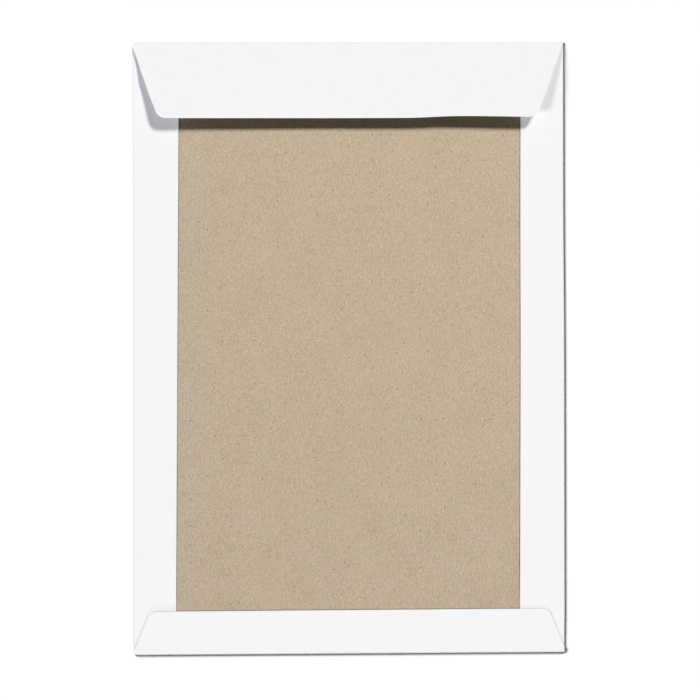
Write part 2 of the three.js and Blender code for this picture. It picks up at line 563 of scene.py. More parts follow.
@dataclass(frozen=True)
class Droop:
    """One end of a flap that hangs lower than the rest."""

    side: int
    height: float
    shares: Span

    def at(self, share: np.ndarray) -> np.ndarray:
        """Gives how far the paper hangs, at shares of the way from the middle of the crease to its end."""
        return self.height * smooth_step(*self.shares, self.side * share)


@dataclass
class ClosingFlap(Flap):
    """The closing flap, sprung open about its crease, with a scored line and a slightly bowed edge."""

    depth: float = 41.98 * MM
    slant: float = math.radians(19.5)
    corner: float = 6 * MM
    shoulders: Span = (-0.42 * MM, 1.23 * MM)
    bulge: float = 0.3 * MM
    span_steps: int = 40
    bow: float = 1.5 * MM
    sag: float = 0.04 * MM
    twist: float = -0.2 * MM
    swell_power: int = 2
    dip: float = 0.75 * MM
    dip_alongs: Span = (32 * MM, 56 * MM)
    recovery: float = 0.6 * MM
    recovery_alongs: Span = (60 * MM, 104 * MM)
    trim_power: int = 4
    score_past: float = 0.7 * MM
    score_depth: float = 0.05 * MM
    score_width: float = 0.35 * MM
    score_reach: float = 1.5
    score_clear: float = 1.6
    score_rows: int = 13
    droops: tuple[Droop, ...] = (
        Droop(-1, height=0.3 * MM, shares=(0.7, 0.95)),
        Droop(1, height=0.3 * MM, shares=(0.66, 0.9)),
    )
    ripples: tuple[Ripple, ...] = (
        Ripple(0.12 * MM, 150 * MM, 3.9),
        Ripple(0.11 * MM, 110 * MM, -0.3),
        Ripple(0.04 * MM, 58 * MM, 2.6),
    )
    curls: tuple[EdgeCurl, ...] = (
        EdgeCurl(1, past=21.0 * MM, length=3.4 * MM, height=0.65 * MM),
        EdgeCurl(-1, past=17.5 * MM, length=7.5 * MM, height=0.7 * MM),
    )

    def rows(self) -> np.ndarray:
        """Gives the rows of the mesh, with more of them at the scored line.

        Returns:
            The distance of each row past the crease.
        """
        middle = self.crease.bend + self.score_past
        score = middle + np.linspace(-self.score_reach, self.score_reach, self.score_rows) * self.score_width
        rows = super().rows()
        apart = np.abs(rows - middle) > self.score_clear * self.score_width
        return np.sort(np.concatenate([rows[apart], score]))

    def relief(self, along: np.ndarray, past: np.ndarray) -> np.ndarray:
        """Gives the flap's bow and twist, its waves and curls, and the groove of its scored line.

        Args:
            along: Places along the crease.
            past: Distances past the crease.

        Returns:
            The height of the paper over its nominal face.
        """
        share = along / self.half_root
        hang = sum(droop.at(share) for droop in self.droops)
        bent = self.bow * share**2 + self.twist * share - self.sag - hang
        swell = bent + rippled(self.ripples, along)
        from_edge = np.maximum(self.free_distance(along, past), 0.0)
        off_crease = smooth_step(0.0, self.crease.bend, past)
        curled = off_crease * sum(curl.at(along, past, from_edge) for curl in self.curls)
        groove = np.exp(-(((past - self.crease.bend - self.score_past) / self.score_width) ** 2))
        return self.outness(past) ** self.swell_power * swell + curled - self.score_depth * groove

    def trim(self, along: np.ndarray, past: np.ndarray) -> np.ndarray:
        """Gives how much the right of the free edge falls short, fading out towards the crease.

        Args:
            along: Places along the crease.
            past: Distances past the crease.

        Returns:
            The missing length of paper.
        """
        dip = self.dip * smooth_step(*self.dip_alongs, -along)
        recovery = self.recovery * smooth_step(*self.recovery_alongs, -along)
        return (dip - recovery) * self.outness(past) ** self.trim_power


@dataclass
class PaperCover:
    """The one die-cut sheet: the front panel, the side seams, the bottom flap and the closing flap."""

    name: str = "folded_cover"
    paper: float = 0.15 * MM
    board_fold: float = 0.7 * MM
    flap_fold: float = 0.875 * MM
    head_long: float = 0.48 * MM
    foot_long: float = 0.245 * MM
    seam_relief: float = 1.5 * MM
    head_relief: float = 0.5 * MM
    seam_shorts: Span = (-0.75 * MM, -0.2 * MM)
    seam_slews: Span = (0.0063, 0.0034)
    flap_lift: float = math.radians(10)
    plain_columns: Spacing = (0.0, 86.0, 4.3)
    climb_columns: Spacing = (86.5, 92.1, 0.5)
    tail_steps: int = 14
    seam_columns: Spacing = (0.0, 140.1, 3.5)
    seam_tail_steps: int = 12

    def __post_init__(self) -> None:
        """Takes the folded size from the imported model."""
        low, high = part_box("paper_cover")
        self.half_width = (high.x - low.x) / 2
        self.side_line = self.half_width - self.board_fold
        self.foot_line = low.y + self.board_fold - self.foot_long
        self.head_line = -low.y - self.flap_fold + self.head_long

    def across(self) -> Columns:
        """Gives the columns that the bottom flap, the closing flap and the front panel share."""
        fixed = np.concatenate([spaced(*self.plain_columns), spaced(*self.climb_columns)])
        return Columns(tuple(fixed), self.tail_steps)

    def seam(self, side: int) -> SideSeam:
        """Gives a side seam.

        Args:
            side: 1 for the seam on the right, -1 for the one on the left.

        Returns:
            The seam, ready to place points on.
        """
        low = self.foot_line + self.seam_relief
        high = self.head_line - self.head_relief
        middle = (side * self.side_line, (low + high) / 2)
        which = 0 if side < 0 else 1
        return SideSeam(
            crease=Crease(middle, (side, 0), self.board_fold, math.pi, self.paper),
            half_root=(high - low) / 2,
            columns=Columns(tuple(spaced(*self.seam_columns)), self.seam_tail_steps),
            short=self.seam_shorts[which],
            slew=self.seam_slews[which],
        )

    @cached_property
    def bottom(self) -> BottomFlap:
        """Gives the bottom flap."""
        crease = Crease((0.0, self.foot_line), (0, -1), self.board_fold, math.pi, self.paper)
        return BottomFlap(crease, self.half_width, self.across())

    @cached_property
    def closing(self) -> ClosingFlap:
        """Gives the closing flap."""
        crease = Crease((0.0, self.head_line), (0, 1), self.flap_fold, math.pi - self.flap_lift, self.paper)
        return ClosingFlap(crease, self.half_width, self.across())

    def panel(self) -> list[Patch]:
        """Gives the front panel: its middle between the seams' roots, and a strip at its foot and its head.

        Returns:
            The patches, from the foot of the envelope to its head.
        """
        seam = self.seam(1)
        middle_y = seam.crease.middle[1] + seam.columns.at(seam.half_root, seam.half_root)[0]
        columns = self.across()
        wide = columns.at(self.half_width, self.half_width)[0]
        narrow = columns.at(self.side_line, self.side_line)[0]
        foot = [(wide, self.foot_line), (narrow, middle_y[0])]
        middle = [(narrow, y) for y in middle_y]
        head = [(narrow, middle_y[-1]), (wide, self.head_line)]
        corner_cuts = (Border.FIRST_COLUMN, Border.LAST_COLUMN)
        parts = ((foot, corner_cuts), (middle, ()), (head, corner_cuts))
        return [self.panel_patch(rows, cut) for rows, cut in parts]

    def panel_patch(self, rows: list[tuple[np.ndarray, float]], cut: tuple[Border, ...]) -> Patch:
        """Gives a flat patch of the front panel.

        Args:
            rows: The places across each row, and the row's place along the envelope.
            cut: The borders where the patch was cut.

        Returns:
            The patch, lying on the surface under the envelope.
        """
        flat = np.array([[(x, y, 0.0) for x in across] for across, y in rows])
        raised = flat + np.array([0.0, 0.0, self.paper])
        return Patch(MAKING.settle(flat), MAKING.settle(raised), cut)

    def build(self) -> bpy.types.Object:
        """Builds the folded sheet as one piece.

        Returns:
            The sheet's object.
        """
        sheet = SheetMesh(self.name)
        for patch in self.panel():
            sheet.add(patch)
        for flap in (self.bottom, self.seam(1), self.closing, self.seam(-1)):
            sheet.add(flap.patch())
        return sheet.build()

    def dressed(self) -> bpy.types.Object:
        """Builds the sheet, and gives it its finish and its place."""
        return dress(self.build(), "paper_cover", WhitePaper())


@dataclass
class BackingBoard:
    """The stiff greyboard sheet, with worn arrises and cut edges that are a little rough."""

    name: str = "greyboard_back"
    corner: float = 2 * MM
    arris: float = 0.07 * MM
    arris_steps: int = 2
    arris_angle: float = math.radians(60)
    rough: float = 0.03 * MM
    end_shares: Span = (0.9, 1.0)
    columns: int = 60
    rows: int = 90
    corner_steps: int = 8
    ripples: tuple[Ripple, ...] = (
        Ripple(0.5, 7.3 * MM, 0.2),
        Ripple(0.3, 3.1 * MM, 1.7),
        Ripple(0.2, 1.3 * MM, 0.9),
    )

    def roughness(self, along: np.ndarray) -> np.ndarray:
        """Gives how far the cut edge wanders at places along it."""
        return self.rough * rippled(self.ripples, along)

    def layer(self, height: float) -> np.ndarray:
        """Gives the board's points at one height.

        Args:
            height: The height of the layer.

        Returns:
            The points in rows and columns.
        """
        low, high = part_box("backing_board")
        turn = np.linspace(0.0, math.pi / 2, self.corner_steps + 1)
        inset = self.corner * (1.0 - np.sin(turn))
        drop = self.corner * (1.0 - np.cos(turn))
        straight = np.linspace(low.y + self.corner, high.y - self.corner, self.rows)
        y = np.concatenate([low.y + drop[:-1], straight, (high.y - drop[:-1])[::-1]])
        narrowing = np.concatenate([inset[:-1], np.zeros(self.rows), inset[:-1][::-1]])
        share = np.linspace(-1.0, 1.0, self.columns)[None, :]
        half = (high.x - narrowing + self.roughness(y))[:, None]
        x = half * share
        ends = smooth_step(*self.end_shares, np.abs(y / high.y))[:, None]
        across = y[:, None] + ends * self.roughness(x + self.corner)
        return MAKING.settle(np.stack([x, across, np.full_like(x, height)], axis=-1))

    def build(self) -> bpy.types.Object:
        """Builds the board as one piece.

        Returns:
            The board's object, with its arrises softened.
        """
        low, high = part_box("backing_board")
        sheet = SheetMesh(self.name)
        sheet.add(Patch(self.layer(low.z), self.layer(high.z), tuple(Border)))
        board = sheet.build()
        softened = board.modifiers.new("worn arrises", "BEVEL")
        softened.width = self.arris
        softened.segments = self.arris_steps
        softened.limit_method = "ANGLE"
        softened.angle_limit = self.arris_angle
        return board

    def dressed(self) -> bpy.types.Object:
        """Builds the board, and gives it its finish and its place."""
        return dress(self.build(), "backing_board", Greyboard())


class BandEnds(Enum):
    """How the ends of a band are finished."""

    SQUARE = "square"
    FEATHERED = "feathered"


@dataclass
class FlapBand:
    """A straight band on the inner face of the closing flap."""

    flap: ClosingFlap
    name: str
    depth: float
    thickness: float
    width: float
    inset: float
    end: float
    ends: BandEnds
    curl: float = 0.0
    curl_reach: float = 14 * MM
    feather: float = 0.6 * MM
    rim_share: float = 0.25
    columns: int = 140
    rows: int = 17
    ripples: tuple[Ripple, ...] = ()

    def build(self) -> bpy.types.Object:
        """Builds the band along the flap.

        Returns:
            The band's object.
        """
        outer = self.flap.reach - self.inset
        half = self.flap.half_sharp(outer, np.array([-1, 1])).mean() - self.end
        along = np.linspace(-half, half, self.columns)[None, :]
        share = np.linspace(-1.0, 1.0, self.rows)[:, None]
        past = outer - self.width / 2 + share * (self.width / 2 + rippled(self.ripples, along))
        from_end = half - np.abs(along)
        thick: np.ndarray | float = self.thickness
        if self.ends is BandEnds.FEATHERED:
            rim = np.minimum(from_end, (1.0 - np.abs(share)) * self.width / 2)
            fullness = smooth_step(0.0, self.feather, rim)
            thick = self.thickness * (self.rim_share + (1.0 - self.rim_share) * fullness)
        base = self.depth + self.curl * np.maximum(1.0 - from_end / self.curl_reach, 0.0) ** 2
        sheet = SheetMesh(self.name)
        outer_face = self.flap.place(along, past, base)
        inner_face = self.flap.place(along, past, base + thick)
        sheet.add(Patch(outer_face, inner_face, tuple(Border)))
        return sheet.build()


@dataclass
class SealStrip(FlapBand):
    """The adhesive, coated in a band with feathered rims."""

    name: str = "adhesive_strip"
    depth: float = 0.17 * MM
    thickness: float = 0.1 * MM
    width: float = 12 * MM
    inset: float = 8 * MM
    end: float = 8 * MM
    ends: BandEnds = BandEnds.FEATHERED
    ripples: tuple[Ripple, ...] = (
        Ripple(0.12 * MM, 21 * MM, 0.6),
        Ripple(0.06 * MM, 7 * MM, 2.2),
    )

    def dressed(self) -> bpy.types.Object:
        """Builds the strip, and gives it its finish and its place."""
        return dress(self.build(), "seal_strip", SealAdhesive())


@dataclass
class ReleaseLiner(FlapBand):
    """The liner over the adhesive, with ends that have curled a little off it."""

    name: str = "peel_liner"
    depth: float = 0.29 * MM
    thickness: float = 0.07 * MM
    width: float = 16 * MM
    inset: float = 6 * MM
    end: float = 6 * MM
    ends: BandEnds = BandEnds.SQUARE
    curl: float = 0.5 * MM

    def dressed(self) -> bpy.types.Object:
        """Builds the liner, and gives it its finish and its place."""
        return dress(self.build(), "release_liner", LinerPaper())


class Blend(Enum):
    """How one colour is laid on another."""

    OVER = "MIX"
    THROUGH = "MULTIPLY"


class NodeGraph:
    """Builds the node tree of a material or a world."""

    def __init__(self, owner: bpy.types.Material | bpy.types.World) -> None:
        """Starts with an empty node tree.

        Args:
            owner: The material or the world.
        """
        owner.use_nodes = True
        self.tree = owner.node_tree
        self.tree.nodes.clear()

    def node(self, kind: str, inputs: dict[str | int, Any] | None = None, **settings: Any) -> bpy.types.Node:
        """Adds a node.

        Args:
            kind: The node's type in Blender.
            inputs: A value or an output to link, for each input that is set.
            settings: The node's own settings.

        Returns:
            The new node.
        """
        node = self.tree.nodes.new(kind)
        for name, value in settings.items():
            setattr(node, name, value)
        for name, value in (inputs or {}).items():
            if isinstance(value, Socket):
                self.tree.links.new(value, node.inputs[name])
            else:
                node.inputs[name].default_value = value
        return node

    def by_sight(self, unseen: float, seen: float) -> Socket:
        """Gives one value for what lights the object, and another for what the camera sees.

        Args:
            unseen: The value for light on the object.
            seen: The value for what is seen directly, mirrored or through glass.

        Returns:
            The value's output.
        """
        path = self.node("ShaderNodeLightPath").outputs
        sight = path["Is Camera Ray"]
        for kind in ("Is Glossy Ray", "Is Transmission Ray"):
            sight = self.node("ShaderNodeMath", {0: sight, 1: path[kind]}, operation="MAXIMUM").outputs[0]
        values = {"Value": sight, "To Min": unseen, "To Max": seen}
        return self.node("ShaderNodeMapRange", values).outputs[0]


class ShaderGraph(NodeGraph):
    """Builds the node tree of a finish."""

    contact_samples = 8
    mix_share = 0
    mix_first = 6
    mix_second = 7
    mix_result = 2

    def __init__(self, name: str) -> None:
        """Starts a material, with the places on its piece.

        Args:
            name: The material's name.
        """
        self.material = bpy.data.materials.new(name)
        super().__init__(self.material)
        self.place = self.node("ShaderNodeTexCoord").outputs["Object"]
        self.axes = self.node("ShaderNodeSeparateXYZ", {"Vector": self.place}).outputs

    def attribute(self, name: str) -> Socket:
        """Gives a value that the mesh keeps at its points."""
        return self.node("ShaderNodeAttribute", attribute_name=name).outputs["Fac"]

    def stretched(self, size: Size, turn: float = 0.0) -> Socket:
        """Gives coordinates in which a feature of the given size is one unit large.

        Args:
            size: The feature's size along each axis.
            turn: The angle that the features are turned through, about the upright axis.

        Returns:
            The coordinates' output.
        """
        values = {"Vector": self.place, "Rotation": (0.0, 0.0, turn)}
        turned = self.node("ShaderNodeMapping", values, vector_type="TEXTURE")
        scale = tuple(1.0 / length for length in size)
        return self.node("ShaderNodeMapping", {"Vector": turned.outputs[0], "Scale": scale}).outputs[0]

    def spread(self, value: Socket, before: Span, after: Span = WHOLE) -> Socket:
        """Maps a range of values to another, and holds it at the ends.

        Args:
            value: The output to map.
            before: The range to map from.
            after: The range to map to.

        Returns:
            The mapped output.
        """
        values = dict(zip(("From Min", "From Max", "To Min", "To Max"), (*before, *after)))
        return self.node("ShaderNodeMapRange", {"Value": value, **values}, clamp=True).outputs[0]

    def product(self, first: Socket, second: Socket) -> Socket:
        """Multiplies two outputs."""
        return self.node("ShaderNodeMath", {0: first, 1: second}, operation="MULTIPLY").outputs[0]

    def below(self, value: Socket, limit: float) -> Socket:
        """Gives 1 where an output is below a limit, and 0 elsewhere."""
        return self.node("ShaderNodeMath", {0: value, 1: limit}, operation="LESS_THAN").outputs[0]

    def total(self, weights: tuple[float, ...], *parts: Socket) -> Socket:
        """Adds up outputs.

        Args:
            weights: The weight of each output.
            parts: The outputs.

        Returns:
            The weighted sum's output.
        """
        result: Value = 0.0
        for weight, value in zip(weights, parts, strict=True):
            values = {0: value, 1: weight, 2: result}
            result = self.node("ShaderNodeMath", values, operation="MULTIPLY_ADD").outputs[0]
        return result

    def contact(self, reach: float, full: float) -> Socket:
        """Gives how closely the surface is overhung by its neighbours, as the share of painted crevice
        shade.

        Args:
            reach: The distance within which a neighbour counts.
            full: The share of the view that neighbours take up in a full crevice.

        Returns:
            An output that is 0 in the open and 1 in a full crevice.
        """
        node = self.node("ShaderNodeAmbientOcclusion", {"Distance": reach}, samples=self.contact_samples)
        return self.spread(node.outputs["AO"], (1.0 - full, 1.0), (1.0, 0.0))

    def mix(self, share: Value, first: Paint, second: Paint, blend: Blend = Blend.OVER) -> Socket:
        """Mixes two colours.

        Args:
            share: How much of the second colour there is.
            first: A colour or an output.
            second: A colour or an output.
            blend: How the second colour is laid on the first.

        Returns:
            The mixed colour's output.
        """
        inputs = {self.mix_share: share}
        for index, part in ((self.mix_first, first), (self.mix_second, second)):
            inputs[index] = (*part, 1.0) if isinstance(part, tuple) else part
        node = self.node("ShaderNodeMix", inputs, data_type="RGBA", blend_type=blend.value)
        return node.outputs[self.mix_result]

    def bump(self, height: Socket, depth: float) -> Socket:
        """Gives a surface roughened by a height.

        Args:
            height: The height's output, from 0 to 1.
            depth: The depth that a height of 1 stands for.

        Returns:
            The normal's output.
        """
        values = {"Height": height, "Strength": 1.0, "Distance": depth}
        return self.node("ShaderNodeBump", values).outputs[0]

    def finish(self, colour: Socket, roughness: Value, gloss: float, normal: Socket) -> bpy.types.Material:
        """Adds the surface shader.

        Args:
            colour: The colour's output.
            roughness: The roughness or its output.
            gloss: How strong the surface's reflections are.
            normal: The roughened surface's output.

        Returns:
            The finished material.
        """
        values = {
            "Base Color": colour,
            "Roughness": roughness,
            "Specular IOR Level": gloss,
            "Normal": normal,
        }
        surface = self.node("ShaderNodeBsdfPrincipled", values)
        self.node("ShaderNodeOutputMaterial", {"Surface": surface.outputs[0]})
        return self.material


@dataclass(frozen=True)
class Grain:
    """Soft noise in a finish: the size of its features, how they are turned, and its finer layers."""

    size: Size
    turn: float = 0.0
    detail: float = 2.0
    rough: float = 0.5

    def over(self, graph: ShaderGraph) -> Socket:
        """Gives the noise at each place.

        Args:
            graph: The material's node tree.

        Returns:
            The noise's output, around a half.
        """
        where = graph.stretched(self.size, self.turn)
        values = {"Vector": where, "Scale": 1.0, "Detail": self.detail, "Roughness": self.rough}
        return graph.node("ShaderNodeTexNoise", values).outputs[0]


class Finish(Protocol):
    """The finish of a piece."""

    def material(self) -> bpy.types.Material:
        """Makes the finish's material."""


@dataclass(frozen=True)
class WhitePaper:
    """Smooth uncoated white paper: faint clouds, a fine tooth, folds dulled by wear and by painted shade, a
    less bright reverse, and painted shade in crevices and beside raised cut edges.
    """

    name: str = "white wove paper"
    bright: Colour = (0.928, 0.927, 0.929)
    dull: Colour = (0.914, 0.913, 0.917)
    # Partly fold wear, partly painted shade: the rolled folds are dulled towards this colour.
    crease_wear_and_shade: Colour = (0.80, 0.80, 0.81)
    reverse: Colour = (0.66, 0.66, 0.67)
    # Painted shade: this dark colour is laid where neighbouring paper or board overhangs the surface, within
    # the crevice distance.
    painted_crevice_shade: Colour = (0.42, 0.42, 0.44)
    crevice: float = 0.9 * MM
    crevice_full: float = 1.0
    cloud: Grain = Grain(cube(5 * MM), detail=5.0, rough=0.6)
    fibre: Grain = Grain((0.09 * MM, 0.5 * MM, 0.3 * MM), turn=0.2, detail=3.0, rough=0.6)
    crossing_turn: float = 1.4
    tooth_shares: Span = (0.6, 0.4)
    tooth_limits: Span = (0.35, 0.65)
    shade_shares: Span = (0.7, 0.3)
    shade_limits: Span = (0.4, 0.6)
    tooth: float = 0.004 * MM
    roughness: Span = (0.68, 0.82)
    gloss: float = 0.18

    def material(self) -> bpy.types.Material:
        """Makes the paper's material.

        Returns:
            The material.
        """
        graph = ShaderGraph(self.name)
        crossing = replace(self.fibre, turn=self.crossing_turn)
        tooth = graph.total(self.tooth_shares, self.fibre.over(graph), crossing.over(graph))
        shade = graph.total(self.shade_shares, self.cloud.over(graph), tooth)
        flat = graph.mix(graph.spread(shade, self.shade_limits), self.bright, self.dull)
        sided = graph.mix(graph.attribute(SheetMesh.inside_name), flat, self.reverse)
        # Dulls the folds, as fold wear and as painted shade on the rolled paper.
        fold_wear_and_shade = graph.product(graph.attribute(SheetMesh.fold_wear_and_shade_name), tooth)
        worn = graph.mix(fold_wear_and_shade, sided, self.crease_wear_and_shade)
        return graph.finish(
            # Paints shade into crevices and beside the cut edges that stand proud.
            colour=graph.mix(graph.contact(self.crevice, self.crevice_full), worn, self.painted_crevice_shade),
            roughness=graph.spread(tooth, self.tooth_limits, self.roughness),
            gloss=self.gloss,
            normal=graph.bump(tooth, self.tooth),
        )


@dataclass(frozen=True)
class Specks:
    """Specks of one kind, scattered in a board."""

    colour: Colour
    spacing: float
    chosen: float
    radius: float
    strength: float
    faintest: float = 0.3
    ragged: Grain = Grain(cube(0.4 * MM), detail=2.0, rough=0.6)

    def cover(self, graph: ShaderGraph) -> Socket:
        """Gives the share of the board's surface that the specks cover.

        Args:
            graph: The material's node tree.

        Returns:
            An output that is up to the specks' strength on a speck and 0 elsewhere.
        """
        values = {"Vector": graph.stretched(cube(self.spacing)), "Scale": 1.0}
        cells = graph.node("ShaderNodeTexVoronoi", values, voronoi_dimensions="2D").outputs
        lots = graph.node("ShaderNodeSeparateColor", {"Color": cells["Color"]}).outputs
        full = self.radius / self.spacing
        edge = graph.total((1.0, full), cells["Distance"], self.ragged.over(graph))
        spot = graph.spread(edge, (full, 2.0 * full), (1.0, 0.0))
        picked = graph.product(spot, graph.below(lots["Red"], self.chosen))
        depth = graph.spread(lots["Green"], WHOLE, (self.faintest * self.strength, self.strength))
        return graph.product(picked, depth)


@dataclass(frozen=True)
class Cast:
    """A cast of colour that comes and goes over a board, with painted light that may strengthen it towards
    the head.
    """

    tint: Colour
    size: float
    # Painted light: how fast the cast strengthens towards the head of the board.
    painted_light_slope: float = 0.0
    detail: float = 4.0
    rough: float = 0.6
    limits: Span = (0.35, 0.65)

    def over(self, graph: ShaderGraph) -> Socket:
        """Gives the cast at each place, between its tint and the opposite one.

        Args:
            graph: The material's node tree.

        Returns:
            The tint's output, white on average.
        """
        clouds = Grain(cube(self.size), detail=self.detail, rough=self.rough).over(graph)
        # The Y term is painted light, warming the board towards its head.
        share = graph.spread(graph.total((1.0, self.painted_light_slope), clouds, graph.axes["Y"]), self.limits)
        opposite = tuple(2.0 - part for part in self.tint)
        return graph.mix(share, opposite, self.tint)


@dataclass(frozen=True)
class Greyboard:
    """Unbleached recycled board: upright fibres and soft mottling, with brown, dark and light specks,
    painted light that brightens it to the right and warms it towards the head, and painted shade in
    crevices.
    """

    name: str = "recycled greyboard"
    deep: Colour = (0.384, 0.2995, 0.200)
    pale: Colour = (0.670, 0.5565, 0.415)
    casts: tuple[Cast, ...] = (
        # Both casts carry painted light that warms the board towards its head.
        Cast((1.015, 0.985, 1.0), 6 * MM, painted_light_slope=0.2),
        Cast((1.002, 1.0, 0.962), 7 * MM, painted_light_slope=0.7),
    )
    # Painted shade: this dark colour is laid where the seams' edges and the flaps overhang the board, within
    # the crevice distance.
    shaded: Colour = (0.10, 0.085, 0.07)
    crevice: float = 0.9 * MM
    crevice_full: float = 0.48
    grain: Grain = Grain((0.68 * MM, 1.12 * MM, 0.68 * MM), detail=3.0, rough=0.65)
    fibre: Grain = Grain((0.3 * MM, 3.2 * MM, 0.3 * MM), turn=0.07)
    strand: Grain = Grain((0.34 * MM, 6.5 * MM, 0.3 * MM), turn=-0.12)
    mottle: Grain = Grain((20 * MM, 30 * MM, 20 * MM), detail=4.0, rough=0.62)
    tone_shares: tuple[float, ...] = (0.48, 0.24, 0.20, 0.08)
    tone_limits: Span = (0.335, 0.665)
    # Painted light: the board's tone is made brighter towards its right side.
    painted_light_gradient: float = 0.075
    specks: tuple[Specks, ...] = (
        Specks((0.28, 0.16, 0.08), spacing=2.4 * MM, chosen=0.25, radius=0.22 * MM, strength=0.6),
        Specks((0.07, 0.05, 0.035), spacing=4.2 * MM, chosen=0.18, radius=0.28 * MM, strength=0.95),
        Specks((0.86, 0.78, 0.66), spacing=5.0 * MM, chosen=0.14, radius=0.25 * MM, strength=0.8),
    )
    tooth_shares: Span = (0.5, 0.5)
    tooth: float = 0.03 * MM
    roughness: float = 0.95
    gloss: float = 0.12

    def material(self) -> bpy.types.Material:
        """Makes the board's material.

        Returns:
            The material.
        """
        graph = ShaderGraph(self.name)
        layers = [grain.over(graph) for grain in (self.grain, self.fibre, self.strand, self.mottle)]
        # The X term is painted light, brightening the board towards its right side.
        tone = graph.total((*self.tone_shares, self.painted_light_gradient), *layers, graph.axes["X"])
        colour = graph.mix(graph.spread(tone, self.tone_limits), self.deep, self.pale)
        for cast in self.casts:
            colour = graph.mix(1.0, colour, cast.over(graph), Blend.THROUGH)
        for kind in self.specks:
            colour = graph.mix(kind.cover(graph), colour, kind.colour)
        grain, fibres = layers[:2]
        return graph.finish(
            # Paints shade along the seams' edges and other crevices.
            colour=graph.mix(graph.contact(self.crevice, self.crevice_full), colour, self.shaded),
            roughness=self.roughness,
            gloss=self.gloss,
            normal=graph.bump(graph.total(self.tooth_shares, grain, fibres), self.tooth),
        )


@dataclass(frozen=True)
class SealAdhesive:
    """A pale tacky film, with the small bubbles and drag lines of its coating."""

    name: str = "pale adhesive"
    clear: Colour = (0.83, 0.80, 0.71)
    dense: Colour = (0.78, 0.74, 0.63)
    streak: Grain = Grain((14 * MM, 0.5 * MM, 0.5 * MM), detail=3.0, rough=0.55)
    bubble: Grain = Grain(cube(0.7 * MM))
    height_shares: Span = (0.7, 0.3)
    height_limits: Span = (0.35, 0.65)
    bubble_limits: Span = (0.3, 0.7)
    depth: float = 0.03 * MM
    roughness: Span = (0.16, 0.36)
    gloss: float = 0.5

    def material(self) -> bpy.types.Material:
        """Makes the adhesive's material.

        Returns:
            The material.
        """
        graph = ShaderGraph(self.name)
        bubbles = self.bubble.over(graph)
        height = graph.total(self.height_shares, self.streak.over(graph), bubbles)
        return graph.finish(
            colour=graph.mix(graph.spread(height, self.height_limits), self.clear, self.dense),
            roughness=graph.spread(bubbles, self.bubble_limits, self.roughness),
            gloss=self.gloss,
            normal=graph.bump(height, self.depth),
        )


@dataclass(frozen=True)
class LinerPaper:
    """Release-coated paper: warm white, with a satin coat over fine fibres."""

    name: str = "coated liner paper"
    light: Colour = (0.90, 0.885, 0.83)
    shade: Colour = (0.87, 0.85, 0.79)
    cloud: Grain = Grain(cube(3 * MM), detail=4.0, rough=0.6)
    fibre: Grain = Grain((0.6 * MM, 0.1 * MM, 0.3 * MM), turn=0.1, detail=3.0, rough=0.6)
    cloud_limits: Span = (0.35, 0.65)
    fibre_limits: Span = (0.3, 0.7)
    tooth: float = 0.003 * MM
    roughness: Span = (0.26, 0.4)
    gloss: float = 0.5

    def material(self) -> bpy.types.Material:
        """Makes the liner's material.

        Returns:
            The material.
        """
        graph = ShaderGraph(self.name)
        fibres = self.fibre.over(graph)
        clouds = graph.spread(self.cloud.over(graph), self.cloud_limits)
        return graph.finish(
            colour=graph.mix(clouds, self.light, self.shade),
            roughness=graph.spread(fibres, self.fibre_limits, self.roughness),
            gloss=self.gloss,
            normal=graph.bump(fibres, self.tooth),
        )


class Receiver(Enum):
    """What a lamp lights."""

    PAPER = "paper"
    BOARD = "board"
    FLOOR = "floor"


@dataclass(frozen=True)
class Beam:
    """Where soft light comes from, and how wide its source looks."""

    towards: Direction
    elevation: float
    spread: float


@dataclass(frozen=True)
class Lamp:
    """A soft round lamp, given by its beam and by its share of the light on a level sheet."""

    name: str
    beam: Beam
    receiver: Receiver
    share: float
    away: float
    tint: Colour = (1.0, 1.0, 1.0)

    def build(self, lit: bpy.types.Collection) -> bpy.types.Object:
        """Makes the lamp.

        Args:
            lit: The collection of what it lights.

        Returns:
            The lamp's object.
        """
        lamp = bpy.data.lights.new(self.name, "POINT")
        lamp.shadow_soft_size = self.away * math.tan(self.beam.spread / 2)
        to_rim = self.away / math.cos(self.beam.spread / 2)
        # The power spreads over a sphere, and a matt white sheet shows a pi-th of what falls on it.
        lamp.energy = 4.0 * (math.pi * to_rim) ** 2 * self.share / math.sin(self.beam.elevation)
        lamp.color = self.tint
        level = Vector(self.beam.towards).normalized() * math.cos(self.beam.elevation)
        thing = bpy.data.objects.new(self.name, lamp)
        thing.location = self.away * Vector((*level, math.sin(self.beam.elevation)))
        thing.visible_camera = False
        thing.light_linking.receiver_collection = lit
        bpy.context.scene.collection.objects.link(thing)
        return thing


KEY = Beam((0.6, 0.8), elevation=math.radians(46.5), spread=math.radians(11))
FILL = Beam((-0.908, -0.42), elevation=math.radians(42), spread=math.radians(15))
FRONT = Beam((0.0, -1.0), elevation=math.radians(13), spread=math.radians(10))
SLANTING = Beam((-0.707, 0.707), elevation=math.radians(31), spread=math.radians(22))
FAR = 90.0
WARM = (1.01, 1.0, 0.965)
COOL = (0.965, 0.98, 1.055)


